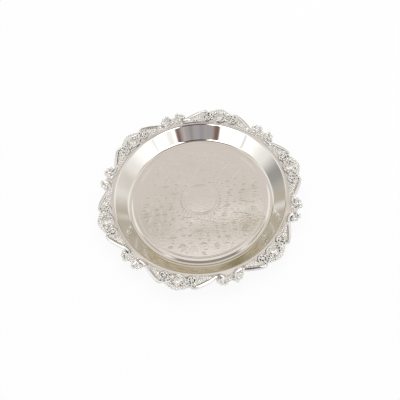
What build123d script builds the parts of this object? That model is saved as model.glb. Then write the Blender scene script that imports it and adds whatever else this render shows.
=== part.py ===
"""A round silver-plated coin tray: a spun dish and a cast border of six soldered sections.

Lengths are millimetres and +Z is up. The origin is the middle of the face that the tray stands
on, and +X runs through one of the six crests of the border.
"""

import os
from math import cos, radians, sin

from build123d import *

# Driving dimensions of the dish
lobes = 6
mouth_radius = 81.0
foot_radius = 68.0
floor_radius = 65.0
well_depth = 11.3
floor_rise = 0.9
step_run = 1.1
sheet = 0.9

# Driving dimensions of the castings
border_show = 2.2
border_width = 16.5
plate_rise = 1.2
seat_gap = 0.15
root = 0.3
slope = 28.0
knob_sides = 6

# Raised ornament of a casting: the smooth outer moulding and the leafy scroll that ends it
moulding_width = 3.5
moulding_rise = 1.5
berry_radius = 1.35
berry_rise = 1.3
finger_width = 2.0
finger_rise = 1.2
eye_radius = 1.6
eye_rise = 1.5
curl_radius = 1.6
curl_rise = 1.6

# Raised ornament of a casting: the boss with its palmette, the C-scroll and the husk chain
boss_radius = 3.0
boss_rise = 2.0
boss_sides = 10
petal_length = 5.6
petal_width = 2.3
petal_rise = 1.4
petal_fan = 75.0
ring_radius = 3.5
ring_open = 180.0
ring_turn = 20.0
ring_facets = 5
ridge_width = 1.6
ridge_rise = 0.7
husk_length = 3.4
husk_width = 2.2
husk_rise = 1.2
husk_turn = 20.0

# Buds that cover the seams between the castings
bud_radius = 1.6
bud_collar = 0.8
bud_rise = 2.0
bud_sides = 8

# Levels above the face that the tray stands on, and sizes that follow from the ones above
channel_top = sheet
floor_top = channel_top + floor_rise
rim_top = channel_top + well_depth
rim_bottom = rim_top - sheet
plate_top = rim_top + plate_rise
border_inner = mouth_radius + border_show
half_lobe = 180 / lobes
ring_facet = (360 - ring_open) / ring_facets

# Places on the border. The first share runs from a crest (0) to a seam (1), and the second
# runs across the border from its inner edge (0) to the tip of a crest (1).
rim_shares = ((0.0, 0.76), (0.38, 0.56), (0.70, 0.22), (1.0, 0.42))
crest_shares = (
    (0.0, 0.99),
    (0.03, 0.935),
    (0.06, 0.98),
    (0.09, 0.91),
    (0.125, 0.93),
    (0.15, 0.85),
    (0.195, 0.85),
    (0.22, 0.77),
    (0.27, 0.70),
)
flank_shares = (
    ((0.33, 0.81), (0.41, 0.73)),
    ((0.57, 0.53), (0.71, 0.335)),
    ((0.79, 0.57), (0.89, 0.73)),
)
seam_shares = ((0.94, 0.69), (0.97, 0.57), (1.0, 0.55), (1.0, 0.21), (0.94, 0.15), (0.91, 0.07))
inner_edge_shares = (
    ((0.88, 0.02), (0.83, 0.0)),
    ((0.40, 0.0), (0.0, 0.0)),
)
moulding_shares = (
    (0.33, 0.70),
    (0.43, 0.60),
    (0.55, 0.42),
    (0.79, 0.16),
    (0.905, 0.31),
    (0.925, 0.57),
)
berry_shares = ((0.77, 0.50), (0.82, 0.65), (0.88, 0.75))
eye_share = (0.84, 0.36)
curl_share = (0.30, 0.60)
ring_share = (0.28, 0.28)
boss_share = (0.0, 0.50)
husk_shares = ((0.42, 0.36), (0.485, 0.27), (0.55, 0.19), (0.61, 0.13))
bud_width_share = 0.37

# Palmette petals: the two shares of the place, then shares of the length and of the fan
petal_shares = (
    (0.0, 0.80, 1.0, 0.0),
    (0.06, 0.79, 1.0, 0.25),
    (0.125, 0.72, 1.0, 0.55),
    (0.18, 0.61, 0.9, 1.0),
)


def at(lobe_share, width_share):
    """A point of the border beside the crest on +X, from its two shares."""
    radius = border_inner + border_width * width_share
    angle = radians(half_lobe * lobe_share)
    return (radius * cos(angle), radius * sin(angle))


def arc_chain(start_shares, arc_shares):
    """Draw arcs end to end, each through one point to the next, and return the last end."""
    last = at(*start_shares)
    for through_shares, end_shares in arc_shares:
        ThreePointArc(last, at(*through_shares), at(*end_shares))
        last = at(*end_shares)
    return last


def rim_plan():
    """The plan of the dish's rim, cut in straight runs that stay inside the border's edge."""
    with BuildSketch() as lobe:
        with BuildLine():
            Polyline((0, 0), *[at(*share) for share in rim_shares], close=True)
        make_face()
        mirror(about=Plane.XZ)
    with BuildSketch() as plan:
        with PolarLocations(0, lobes):
            add(lobe.sketch)
    return plan.sketch


def casting_plan():
    """The plan of half a border section, from the crest on +X to the seam."""
    with BuildSketch() as plan:
        with BuildLine():
            Polyline(*[at(*share) for share in crest_shares])
            scroll_top = arc_chain(crest_shares[-1], flank_shares)
            Polyline(scroll_top, *[at(*share) for share in seam_shares])
            inner_end = arc_chain(seam_shares[-1], inner_edge_shares)
            Line(inner_end, at(*crest_shares[0]))
        make_face()
        with Locations(*[at(*share) for share in berry_shares]):
            RegularPolygon(berry_radius, knob_sides)
    return plan.sketch


def crosswise(path):
    """The plane across the start of a level path, with its y axis up."""
    heading = path % 0
    return Plane(origin=path @ 0, x_dir=Vector(0, 0, 1).cross(heading), z_dir=heading)


def raise_moulding():
    """The smooth ridged moulding, swept down the lobe's flank and round the end scroll."""
    points = [at(*share) for share in moulding_shares]
    with BuildLine(Plane.XY.offset(plate_top)) as path:
        arc = ThreePointArc(*points[:3])
        for point in points[3:]:
            arc = TangentArc(arc @ 1, point, tangent=arc % 1)
    with BuildSketch(crosswise(path.line)) as profile:
        with BuildLine():
            Polyline(
                (moulding_width / 2, -root),
                (moulding_width / 2, 0),
                (0, moulding_rise),
                (-moulding_width / 2, 0),
                (-moulding_width / 2, -root),
                close=True,
            )
        make_face()
    sweep(sections=profile.sketch, path=path.line)


def raise_c_scroll():
    """The C-scroll: a sharp ridge that runs round part of a circle in straight facets."""
    middle = Vector(at(*ring_share))
    spoke = Vector(ring_radius, 0)
    turns = [ring_turn + ring_open / 2 + ring_facet * step for step in range(ring_facets + 1)]
    corners = [middle + spoke.rotate(Axis.Z, turn) for turn in turns]
    with BuildLine(Plane.XY.offset(plate_top)) as path:
        Polyline(*[(corner.X, corner.Y) for corner in corners])
    with BuildSketch(crosswise(path.line)) as profile:
        with BuildLine():
            Polyline(
                (-ridge_width / 2, -root),
                (-ridge_width / 2, 0),
                (0, ridge_rise),
                (ridge_width / 2, 0),
                (ridge_width / 2, -root),
                close=True,
            )
        make_face()
    sweep(sections=profile.sketch, path=path.line, transition=Transition.RIGHT)


def raise_knob(centre_shares, radius, rise, sides):
    """A faceted knob with sloped sides."""
    with BuildSketch(Plane.XY.offset(plate_top - root)) as knob:
        with Locations(at(*centre_shares)):
            RegularPolygon(radius, sides)
    extrude(knob.sketch, amount=root + rise, taper=slope)


def raise_petal(centre, length, width, rise, turn):
    """A pointed petal with faceted sides, its long axis turned from the +X axis."""
    seat = Plane(origin=(*centre, plate_top - root)).rotated((0, 0, turn))
    with BuildSketch(seat) as petal:
        with BuildLine():
            Polyline((-length / 2, 0), (0, -width / 2), (length / 2, 0), (0, width / 2), close=True)
        make_face()
    extrude(petal.sketch, amount=root + rise, taper=slope)


def raise_end_scroll():
    """The leaf that ends the moulding: an eye, three fingers from it, and a berry on each."""
    eye = Vector(at(*eye_share))
    for share in berry_shares:
        reach = Vector(at(*share)) - eye
        middle = eye + reach / 2
        turn = Vector(1, 0).get_signed_angle(reach, Vector(0, 0, 1))
        raise_petal((middle.X, middle.Y), reach.length, finger_width, finger_rise, turn)
        raise_knob(share, berry_radius, berry_rise, knob_sides)
    raise_knob(eye_share, eye_radius, eye_rise, knob_sides)


def raise_palmette():
    """The petals that fan out round a crest."""
    for lobe_share, width_share, length_share, fan_share in petal_shares:
        length = petal_length * length_share
        turn = petal_fan * fan_share
        raise_petal(at(lobe_share, width_share), length, petal_width, petal_rise, turn)


def raise_husks():
    """The chain of husks that runs inside the moulding."""
    for share in husk_shares:
        raise_petal(at(*share), husk_length, husk_width, husk_rise, husk_turn)


# The dish: one spun sheet with a raised floor, a foot ring round it, a sloping wall and a rim
rim = rim_plan()
with BuildPart() as dish:
    with BuildSketch(Plane.XZ):
        with BuildLine():
            Polyline(
                (0, floor_top),
                (floor_radius, floor_top),
                (floor_radius + step_run, channel_top),
                (foot_radius, channel_top),
                (mouth_radius, rim_top),
                (border_inner, rim_top),
            )
            offset(amount=sheet, side=Side.RIGHT, kind=Kind.INTERSECTION)
        make_face()
    revolve(axis=Axis.Z)
    with BuildSketch(Plane.XY.offset(rim_bottom)):
        add(rim)
        Circle(border_inner - root, mode=Mode.SUBTRACT)
    extrude(amount=sheet)

# One casting: half of it is raised on its plate and mirrored, with a seat under it for the rim
with BuildPart() as casting:
    with BuildSketch(Plane.XY.offset(rim_bottom)):
        add(casting_plan())
    extrude(amount=plate_top - rim_bottom)
    with BuildSketch(Plane.XY.offset(rim_bottom)):
        add(rim)
        offset(amount=seat_gap, kind=Kind.INTERSECTION)
    extrude(amount=sheet, mode=Mode.SUBTRACT)
    raise_moulding()
    raise_end_scroll()
    raise_knob(curl_share, curl_radius, curl_rise, knob_sides)
    raise_c_scroll()
    raise_palmette()
    raise_husks()
    mirror(about=Plane.XZ)
    raise_knob(boss_share, boss_radius, boss_rise, boss_sides)

# One bud: a round collar and a blunt point, standing on the plates at the seam beside +X
bud_seat = Plane(origin=(*at(1, bud_width_share), plate_top))
with BuildPart() as bud:
    with BuildSketch(bud_seat):
        RegularPolygon(bud_radius, bud_sides)
    extrude(amount=bud_collar)
    with BuildSketch(bud_seat.offset(bud_collar)):
        RegularPolygon(bud_radius, bud_sides)
    extrude(amount=bud_rise - bud_collar, taper=slope)

# Six castings meet face to face at the seams, and a bud covers each seam
os.makedirs("parts", exist_ok=True)
dish.part.label = "dish"
export_step(dish.part, "parts/dish.step")
for number in range(lobes):
    turn = (0, 0, 2 * half_lobe * number)
    with BuildPart() as border_section:
        add(casting.part, rotation=turn)
    border_section.part.label = f"border_section_{number + 1}"
    export_step(border_section.part, f"parts/border_section_{number + 1}.step")
    with BuildPart() as seam_bud:
        add(bud.part, rotation=turn)
    seam_bud.part.label = f"seam_bud_{number + 1}"
    export_step(seam_bud.part, f"parts/seam_bud_{number + 1}.step")
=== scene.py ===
"""Looks of the silver-plated coin tray, built round its packed construction.

Lengths in the classes are millimetres in the tray's own frame, with +Z up and +X through a crest
of the border. Meshes are written in metres.
"""

import logging
import math
from dataclasses import dataclass
from enum import Enum

import bmesh
import bpy
import numpy as np
from mathutils import Matrix, Vector
from mathutils.geometry import delaunay_2d_cdt


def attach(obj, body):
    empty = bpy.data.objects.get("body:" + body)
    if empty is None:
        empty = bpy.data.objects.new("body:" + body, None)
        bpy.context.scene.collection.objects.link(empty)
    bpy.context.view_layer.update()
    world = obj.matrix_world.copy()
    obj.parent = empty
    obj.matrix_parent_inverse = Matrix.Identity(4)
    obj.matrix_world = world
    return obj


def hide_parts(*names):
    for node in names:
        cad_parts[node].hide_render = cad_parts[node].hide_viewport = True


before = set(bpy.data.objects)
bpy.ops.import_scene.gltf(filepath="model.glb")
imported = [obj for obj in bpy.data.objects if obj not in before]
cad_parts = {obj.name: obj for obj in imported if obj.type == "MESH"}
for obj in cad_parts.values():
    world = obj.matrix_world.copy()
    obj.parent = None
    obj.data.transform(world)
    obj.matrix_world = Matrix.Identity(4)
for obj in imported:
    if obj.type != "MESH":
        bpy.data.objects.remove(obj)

MM = 0.001
LOBES = 6
WHOLE_TURN = 2 * math.pi
LOBE_TURN = WHOLE_TURN / LOBES
HALF_LOBE = LOBE_TURN / 2
TINY = 1e-9
log = logging.getLogger("coin_tray")

Point = tuple[float, float]
Row = tuple[float, float, float, float]
Colour = tuple[float, float, float]
Place = tuple[float, float, float]
Edge = tuple[int, int]
Faces = list[list[int]]
Mesh = bpy.types.Mesh
Material = bpy.types.Material
Piece = bpy.types.Object
Socket = bpy.types.NodeSocket


def both_sides(*left: Point) -> tuple[Point, ...]:
    """A cross-section from its left half, which ends at the top."""
    return (*left, *((-x, y) for x, y in left[-2::-1]))


class Metal(Enum):
    """The record's material slots that match the pieces' finishes."""

    DISH = "dish_plate"
    BORDER = "border_plate"


class Profile(Enum):
    """Cross-sections of raised work, as shares of half the width and of the rise."""

    ROUND = both_sides(
        (-1.0, -0.5), (-1.0, 0.0), (-0.92, 0.38), (-0.71, 0.71), (-0.38, 0.92), (0.0, 1.0)
    )
    KEEL = both_sides((-1.0, -0.5), (-1.0, 0.0), (-0.55, 0.38), (-0.2, 0.8), (0.0, 1.0))
    MOULDING = (
        (-1.0, -0.5), (-1.0, 0.44), (-0.94, 0.6), (-0.6, 0.8), (-0.24, 0.97), (-0.12, 1.0),
        (0.0, 0.97), (0.22, 0.84), (0.34, 0.7), (0.42, 0.3), (0.5, 0.16), (0.6, 0.16),
        (0.68, 0.46), (0.8, 0.6), (0.92, 0.5), (1.0, 0.2), (1.0, -0.5),
    )


def circle(angle: object, radius: object = 1.0) -> np.ndarray:
    """Points at angles in radians, at one radius or at one for each angle."""
    return np.c_[radius * np.cos(angle), radius * np.sin(angle)]


def angles(count: int) -> np.ndarray:
    """Angles in radians, evenly spaced round a whole turn."""
    return np.linspace(0, WHOLE_TURN, count, endpoint=False)


def in_row(count: int, first: int = 0) -> list[Edge]:
    """Edges that join so many points in a row, from a given point number."""
    return [(i, i + 1) for i in range(first, first + count - 1)]


def in_ring(count: int, first: int = 0) -> list[Edge]:
    """Edges that join so many points in a ring, from a given point number."""
    return [(first + i, first + (i + 1) % count) for i in range(count)]


def skin(rings: int, count: int) -> Faces:
    """Faces between stacked rings of equally many points, turned out if the rings rise."""
    corners = ((low, low + count, i, j) for low in range(0, (rings - 1) * count, count)
               for i, j in in_ring(count))
    return [[low + i, low + j, high + j, high + i] for low, high, i, j in corners]


def catmull(rows: np.ndarray, steps: int) -> np.ndarray:
    """A smooth curve through control rows.

    Args:
        rows: Control rows, one a line, of any number of values.
        steps: Samples for each span between two rows.

    Returns:
        The sampled rows, the first and last control rows included.
    """
    padded = np.vstack([2 * rows[0] - rows[1], rows, 2 * rows[-1] - rows[-2]])
    t = np.linspace(0, 1, steps, endpoint=False)[:, None]
    spans = []
    for a, b, c, d in zip(padded, padded[1:], padded[2:], padded[3:]):
        spans.append(
            0.5 * (2 * b + (c - a) * t + (2 * a - 5 * b + 4 * c - d) * t**2
                   + (3 * b - a - 3 * c + d) * t**3)
        )
    return np.vstack([*spans, rows[-1:]])


def from_pair(rows: list[tuple]) -> list[tuple]:
    """Rows given beside a seam, turned into rows given beside the crest of a lobe.

    Args:
        rows: Rows that start with distance from the seam and distance from the middle of the
            tray.

    Returns:
        Rows that start with distance from the crest line and distance along it instead.
    """
    sine, cosine = math.sin(HALF_LOBE), math.cos(HALF_LOBE)
    return [(t * sine - s * cosine, t * cosine + s * sine, *more) for s, t, *more in rows]


def new_object(name: str, mesh: Mesh) -> Piece:
    """Link a new object that holds a mesh.

    Args:
        name: The object's name.
        mesh: Its mesh.

    Returns:
        The object, at the origin.
    """
    piece = bpy.data.objects.new(name, mesh)
    bpy.context.scene.collection.objects.link(piece)
    return piece


def discard(piece: Piece) -> None:
    """Remove an object with its mesh."""
    bpy.data.meshes.remove(piece.data)


def applied(source: Piece, name: str) -> Mesh:
    """The mesh that an object's modifiers make, after which the object is removed.

    Args:
        source: The object with modifiers.
        name: The new mesh's name.

    Returns:
        The plain mesh.
    """
    graph = bpy.context.evaluated_depsgraph_get()
    mesh = bpy.data.meshes.new_from_object(source.evaluated_get(graph), depsgraph=graph)
    mesh.name = name
    discard(source)
    return mesh


def points_of(mesh: Mesh) -> np.ndarray:
    """Read a mesh's points.

    Args:
        mesh: The mesh.

    Returns:
        Its points, one a line.
    """
    points = np.empty(len(mesh.vertices) * 3)
    mesh.vertices.foreach_get("co", points)
    return points.reshape(-1, 3)


def carrier_of(
    points: object, edges: list[Edge] = (), faces: Faces = (), **attributes: object
) -> Mesh:
    """A plain mesh in millimetres that carries values for a node tree.

    Args:
        points: Its points, one a line.
        edges: Its edges.
        faces: Its faces.
        attributes: A number or a vector for each point, by attribute name.

    Returns:
        The mesh.
    """
    mesh = bpy.data.meshes.new("carrier")
    mesh.from_pydata(np.asarray(points, float).tolist(), edges, faces)
    for name, values in attributes.items():
        data = np.asarray(values, float)
        kind, field = ("FLOAT", "value") if data.ndim == 1 else ("FLOAT_VECTOR", "vector")
        mesh.attributes.new(name, kind, "POINT").data.foreach_set(field, data.ravel())
    return mesh


class Solids:
    """Closed shells in millimetres, gathered to become one mesh.

    Attributes:
        weld: Distance within which points become one.
    """

    weld = 0.0005

    def __init__(self) -> None:
        """Start with nothing gathered."""
        self.points: list[np.ndarray] = []
        self.faces: Faces = []
        self.count = 0

    def add(self, points: np.ndarray, faces: Faces) -> None:
        """Gather one closed shell.

        Args:
            points: Corners, one a line.
            faces: Corner numbers of each face, in order round it.
        """
        self.points.append(np.asarray(points, float))
        self.faces += [[i + self.count for i in face] for face in faces]
        self.count += len(points)

    def add_mirrored(self, points: np.ndarray, faces: Faces) -> None:
        """Gather a shell and its mirror image across the crest line."""
        self.add(points, faces)
        self.add(points * np.array([1, -1, 1]), [face[::-1] for face in faces])

    def mesh(self, name: str, finish: Material) -> Mesh:
        """One mesh of all the shells, in metres, welded and with its faces turned outwards.

        Args:
            name: The mesh's name.
            finish: Its material.

        Returns:
            The mesh, shaded smooth.
        """
        mesh = bpy.data.meshes.new(name)
        mesh.from_pydata((np.vstack(self.points) * MM).tolist(), [], self.faces)
        work = bmesh.new()
        work.from_mesh(mesh)
        bmesh.ops.remove_doubles(work, verts=work.verts, dist=self.weld * MM)
        bmesh.ops.recalc_face_normals(work, faces=work.faces)
        work.to_mesh(mesh)
        work.free()
        mesh.update()
        mesh.materials.append(finish)
        mesh.shade_smooth()
        return mesh


class Tree:
    """A small helper that writes a node tree."""

    def __init__(self, tree: bpy.types.NodeTree) -> None:
        """Hold the tree to write into."""
        self.tree = tree

    def node(self, kind: str, inputs: dict | None = None, **settings: object) -> bpy.types.Node:
        """Add one node.

        Args:
            kind: The node's type name.
            inputs: Values or sockets for its inputs, by name or number.
            settings: Attributes to set on the node.

        Returns:
            The node.
        """
        node = self.tree.nodes.new(kind)
        for key, value in settings.items():
            setattr(node, key, value)
        for key, value in (inputs or {}).items():
            if isinstance(value, Socket):
                self.tree.links.new(value, node.inputs[key])
            else:
                node.inputs[key].default_value = value
        return node

    def out(
        self, kind: str, inputs: dict | None = None, which: int | str = 0, **settings: object
    ) -> Socket:
        """Add one node and return the output of a given name or number."""
        return self.node(kind, inputs, **settings).outputs[which]

    def math(self, operation: str, *values: object) -> Socket:
        """Add a Math node with these numbers or sockets and return its result."""
        return self.out("ShaderNodeMath", dict(enumerate(values)), operation=operation)

    def vector(self, operation: str, *values: object, which: str = "Vector") -> Socket:
        """Add a Vector Math node with these vectors or sockets and return an output."""
        inputs = dict(enumerate(values))
        return self.out("ShaderNodeVectorMath", inputs, which, operation=operation)

    def ramp(self, value: Socket, low: float, high: float, to: Point = (0, 1)) -> Socket:
        """Add a clamped smooth Map Range node.

        Args:
            value: The socket to map.
            low: The input that gives the first output.
            high: The input that gives the second output.
            to: The two outputs.

        Returns:
            The result's socket.
        """
        return self.out(
            "ShaderNodeMapRange",
            {"Value": value, "From Min": low, "From Max": high, "To Min": to[0], "To Max": to[1]},
            "Result",
            interpolation_type="SMOOTHSTEP",
        )

    def blend(self, share: Socket, first: object, second: object) -> Socket:
        """Add a colour Mix node and return the two colours mixed by the second one's share."""
        return self.out("ShaderNodeMix", {0: share, 6: first, 7: second}, 2, data_type="RGBA")

    def noise(self, place: Socket, waves: Point) -> Socket:
        """Add noise with given waves to the metre and octaves, and return its value."""
        scale, octaves = waves
        return self.out("ShaderNodeTexNoise", {"Vector": place, "Scale": scale, "Detail": octaves})

    def mirrored(self, camera: bool = False) -> Socket:
        """One for rays that metal or glass sends on, else nothing.

        Args:
            camera: Whether the camera's own rays count too.

        Returns:
            The share's socket.
        """
        path = self.node("ShaderNodeLightPath").outputs
        share = self.math("MAXIMUM", path["Is Glossy Ray"], path["Is Transmission Ray"])
        return self.math("MAXIMUM", share, path["Is Camera Ray"]) if camera else share


class Repeat:
    """A Geometry Nodes tree with named inputs, run on a carrier mesh in millimetres.

    Attributes:
        sockets: Socket types by input name.
    """

    sockets: dict[str, str] = {}

    def __init__(self, finish: Material) -> None:
        """Write the tree.

        Args:
            finish: The material that the tree sets.
        """
        self.finish = finish
        self.group = bpy.data.node_groups.new(type(self).__name__, "GeometryNodeTree")
        face = self.group.interface
        face.new_socket("Geometry", in_out="INPUT", socket_type="NodeSocketGeometry")
        face.new_socket("Geometry", in_out="OUTPUT", socket_type="NodeSocketGeometry")
        self.named = {
            label: face.new_socket(label, in_out="INPUT", socket_type=kind).identifier
            for label, kind in {**self.sockets, "Finish": "NodeSocketMaterial"}.items()
        }
        self.tree = Tree(self.group)
        self.start = self.tree.node("NodeGroupInput").outputs
        real = self.tree.out("GeometryNodeRealizeInstances", {"Geometry": self.grow()})
        dressed = self.tree.out(
            "GeometryNodeSetMaterial", {"Geometry": real, "Material": self.start["Finish"]}
        )
        self.tree.node("NodeGroupOutput", {0: dressed})

    def grow(self) -> Socket:
        """The nodes between the input and Realize Instances."""
        raise NotImplementedError

    def attribute(self, name: str, kind: str = "FLOAT") -> Socket:
        """A named attribute of the carrier, of a given data type."""
        return self.tree.out("GeometryNodeInputNamedAttribute", {"Name": name}, data_type=kind)

    def turned(self, angle: Socket) -> Socket:
        """A turn about the upright axis by an angle in radians."""
        spin = self.tree.out("ShaderNodeCombineXYZ", {"Z": angle})
        return self.tree.out("FunctionNodeEulerToRotation", {0: spin})

    def ball(self, fineness: int) -> Socket:
        """A ball of radius 1 made of triangles that are halved so many times."""
        inputs = {"Radius": 1.0, "Subdivisions": fineness}
        return self.tree.out("GeometryNodeMeshIcoSphere", inputs)

    def copies(self, points: Socket, form: Socket, **lie: Socket) -> Socket:
        """Copies of a form on points, with sockets for their Rotation and Scale."""
        inputs = {"Points": points, "Instance": form, **lie}
        return self.tree.out("GeometryNodeInstanceOnPoints", inputs)

    def smooth_curve(self, steps: int) -> Socket:
        """The carrier's edges as smooth curves that lie level.

        Args:
            steps: Samples for each edge.

        Returns:
            The curves.
        """
        out = self.tree.out
        curve = out("GeometryNodeMeshToCurve", {0: self.start["Geometry"]})
        curve = out("GeometryNodeCurveSplineType", {0: curve}, spline_type="CATMULL_ROM")
        curve = out("GeometryNodeSetSplineResolution", {0: curve, "Resolution": steps})
        return out("GeometryNodeSetCurveNormal", {0: curve}, mode="Z_UP")

    def run(self, mesh: Mesh, **values: object) -> Mesh:
        """Run the tree on a carrier, which is used up.

        Args:
            mesh: The carrier.
            values: The inputs' values by name.

        Returns:
            The mesh that comes out.
        """
        carrier = new_object("carrier", mesh)
        modifier = carrier.modifiers.new("repeat", "NODES")
        modifier.node_group = self.group
        for label, value in {**values, "Finish": self.finish}.items():
            modifier[self.named[label]] = value
        return applied(carrier, "repeated")


class Follow(Repeat):
    """Carries a cross-section along paths; each point has a half width and a rise over it.

    Attributes:
        path_steps: Samples for each edge of a path.
    """

    sockets = {"Section": "NodeSocketObject", "Foot": "NodeSocketFloat"}
    path_steps = 6

    def grow(self) -> Socket:
        """Smooth the paths, sweep the section along them and set the heights."""
        out = self.tree.out
        section = out("GeometryNodeObjectInfo", {0: self.start["Section"]}, "Geometry")
        outline = out("GeometryNodeMeshToCurve", {0: section})
        path, wide = self.smooth_curve(self.path_steps), self.attribute("half")
        swept = out(
            "GeometryNodeCurveToMesh", {0: path, 1: outline, "Scale": wide, "Fill Caps": True}
        )
        place = self.tree.node("ShaderNodeSeparateXYZ", {0: out("GeometryNodeInputPosition")})
        x, y, z = place.outputs
        height = self.tree.math("MULTIPLY_ADD", z, self.attribute("ratio"), self.start["Foot"])
        moved = out("ShaderNodeCombineXYZ", {"X": x, "Y": y, "Z": height})
        return out("GeometryNodeSetPosition", {0: swept, "Position": moved})


class Knobs(Repeat):
    """Sets a rounded knob on every point, by the point's size and turn.

    Attributes:
        fineness: How often the knob's triangles are halved.
    """

    fineness = 4

    def grow(self) -> Socket:
        """Instance a ball on the points."""
        size, turn = self.attribute("size", "FLOAT_VECTOR"), self.turned(self.attribute("turn"))
        ball = self.ball(self.fineness)
        return self.copies(self.start["Geometry"], ball, Rotation=turn, Scale=size)


class Chain(Repeat):
    """Strings copies of a form along a path, each smaller than the one before.

    Attributes:
        path_steps: Samples for each edge of the path.
    """

    sockets = {
        "Form": "NodeSocketObject",
        "Count": "NodeSocketInt",
        "First": "NodeSocketFloat",
        "Last": "NodeSocketFloat",
    }
    path_steps = 12

    def grow(self) -> Socket:
        """Instance the form along the path, turned with it."""
        out, start = self.tree.out, self.start
        path = self.smooth_curve(self.path_steps)
        beads = out("GeometryNodeResampleCurve", {0: path, "Count": start["Count"]})
        form = out("GeometryNodeObjectInfo", {0: start["Form"]}, "Geometry")
        heading = out("GeometryNodeInputTangent")
        turn = out("FunctionNodeAlignRotationToVector", {"Vector": heading}, axis="X")
        along = out("GeometryNodeSplineParameter", None, "Factor")
        growth = self.tree.math("SUBTRACT", start["Last"], start["First"])
        size = self.tree.math("MULTIPLY_ADD", growth, along, start["First"])
        return self.copies(beads, form, Rotation=turn, Scale=size)


class Matting(Repeat):
    """Scatters small pearls of uneven size over the carrier's faces.

    Attributes:
        fineness: How often a pearl's triangles are halved.
        densest: Most pearls to the square millimetre.
        sizes: The smallest and the largest radius.
    """

    sockets = {"Gap": "NodeSocketFloat", "Start": "NodeSocketFloat", "Seed": "NodeSocketInt"}
    fineness = 2
    densest = 4.0
    sizes = (0.34, 0.6)

    def grow(self) -> Socket:
        """Instance pearls on scattered points beyond a given radius."""
        out, start = self.tree.out, self.start
        radius = self.tree.vector("LENGTH", out("GeometryNodeInputPosition"), which="Value")
        limits = {"A": radius, "B": start["Start"]}
        scattered = out(
            "GeometryNodeDistributePointsOnFaces",
            {
                "Mesh": start["Geometry"],
                "Selection": out("FunctionNodeCompare", limits, operation="GREATER_THAN"),
                "Distance Min": start["Gap"],
                "Density Max": self.densest,
                "Seed": start["Seed"],
            },
            distribute_method="POISSON",
        )
        low, high = self.sizes
        spread = {"Min": low, "Max": high, "Seed": start["Seed"]}
        size = out("FunctionNodeRandomValue", spread, "Value")
        return self.copies(scattered, self.ball(self.fineness), Scale=size)


class Round(Repeat):
    """Repeats a figure round the middle of the tray."""

    sockets = {"Count": "NodeSocketInt"}

    def grow(self) -> Socket:
        """Instance the figure on points that all lie in the middle, each turned further."""
        out, count = self.tree.out, self.start["Count"]
        middle = out("GeometryNodeMeshLine", {"Count": count, "Offset": (0.0, 0.0, 0.0)})
        share = self.tree.math("DIVIDE", WHOLE_TURN, count)
        angle = self.tree.math("MULTIPLY", out("GeometryNodeInputIndex"), share)
        return self.copies(middle, self.start["Geometry"], Rotation=self.turned(angle))


@dataclass(frozen=True)
class Finish:
    """Silver plate: its colours, its gloss and its finest relief.

    Attributes:
        name: The material's name.
        bright: Colour where the plate is rubbed clean.
        tarnish: Colour where it is not.
        clean_rough: Roughness where it is rubbed clean.
        bump: Strength of the finest relief.
        bump_depth: How deep that relief is.
    """

    name: str
    bright: Colour = (0.94, 0.92, 0.885)
    tarnish: Colour = (0.62, 0.54, 0.43)
    clean_rough: float = 0.045
    bump: float = 0.5
    bump_depth: float = 0.01

    def surface(self, tree: Tree, place: Socket) -> tuple[Socket, Socket, Socket]:
        """Colour, roughness and finest relief at a place on the piece."""
        raise NotImplementedError

    def build(self) -> Material:
        """Make the material.

        Returns:
            A metal material in object coordinates.
        """
        material = bpy.data.materials.new(self.name)
        material.use_nodes = True
        tree = Tree(material.node_tree)
        place = tree.out("ShaderNodeTexCoord", None, "Object")
        colour, rough, relief = self.surface(tree, place)
        depth = self.bump_depth * MM
        bump = tree.out(
            "ShaderNodeBump", {"Strength": self.bump, "Distance": depth, "Height": relief}
        )
        shader = material.node_tree.nodes["Principled BSDF"].inputs
        shader["Metallic"].default_value = 1.0
        for label, value in (("Base Color", colour), ("Roughness", rough), ("Normal", bump)):
            tree.tree.links.new(value, shader[label])
        return material


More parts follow.
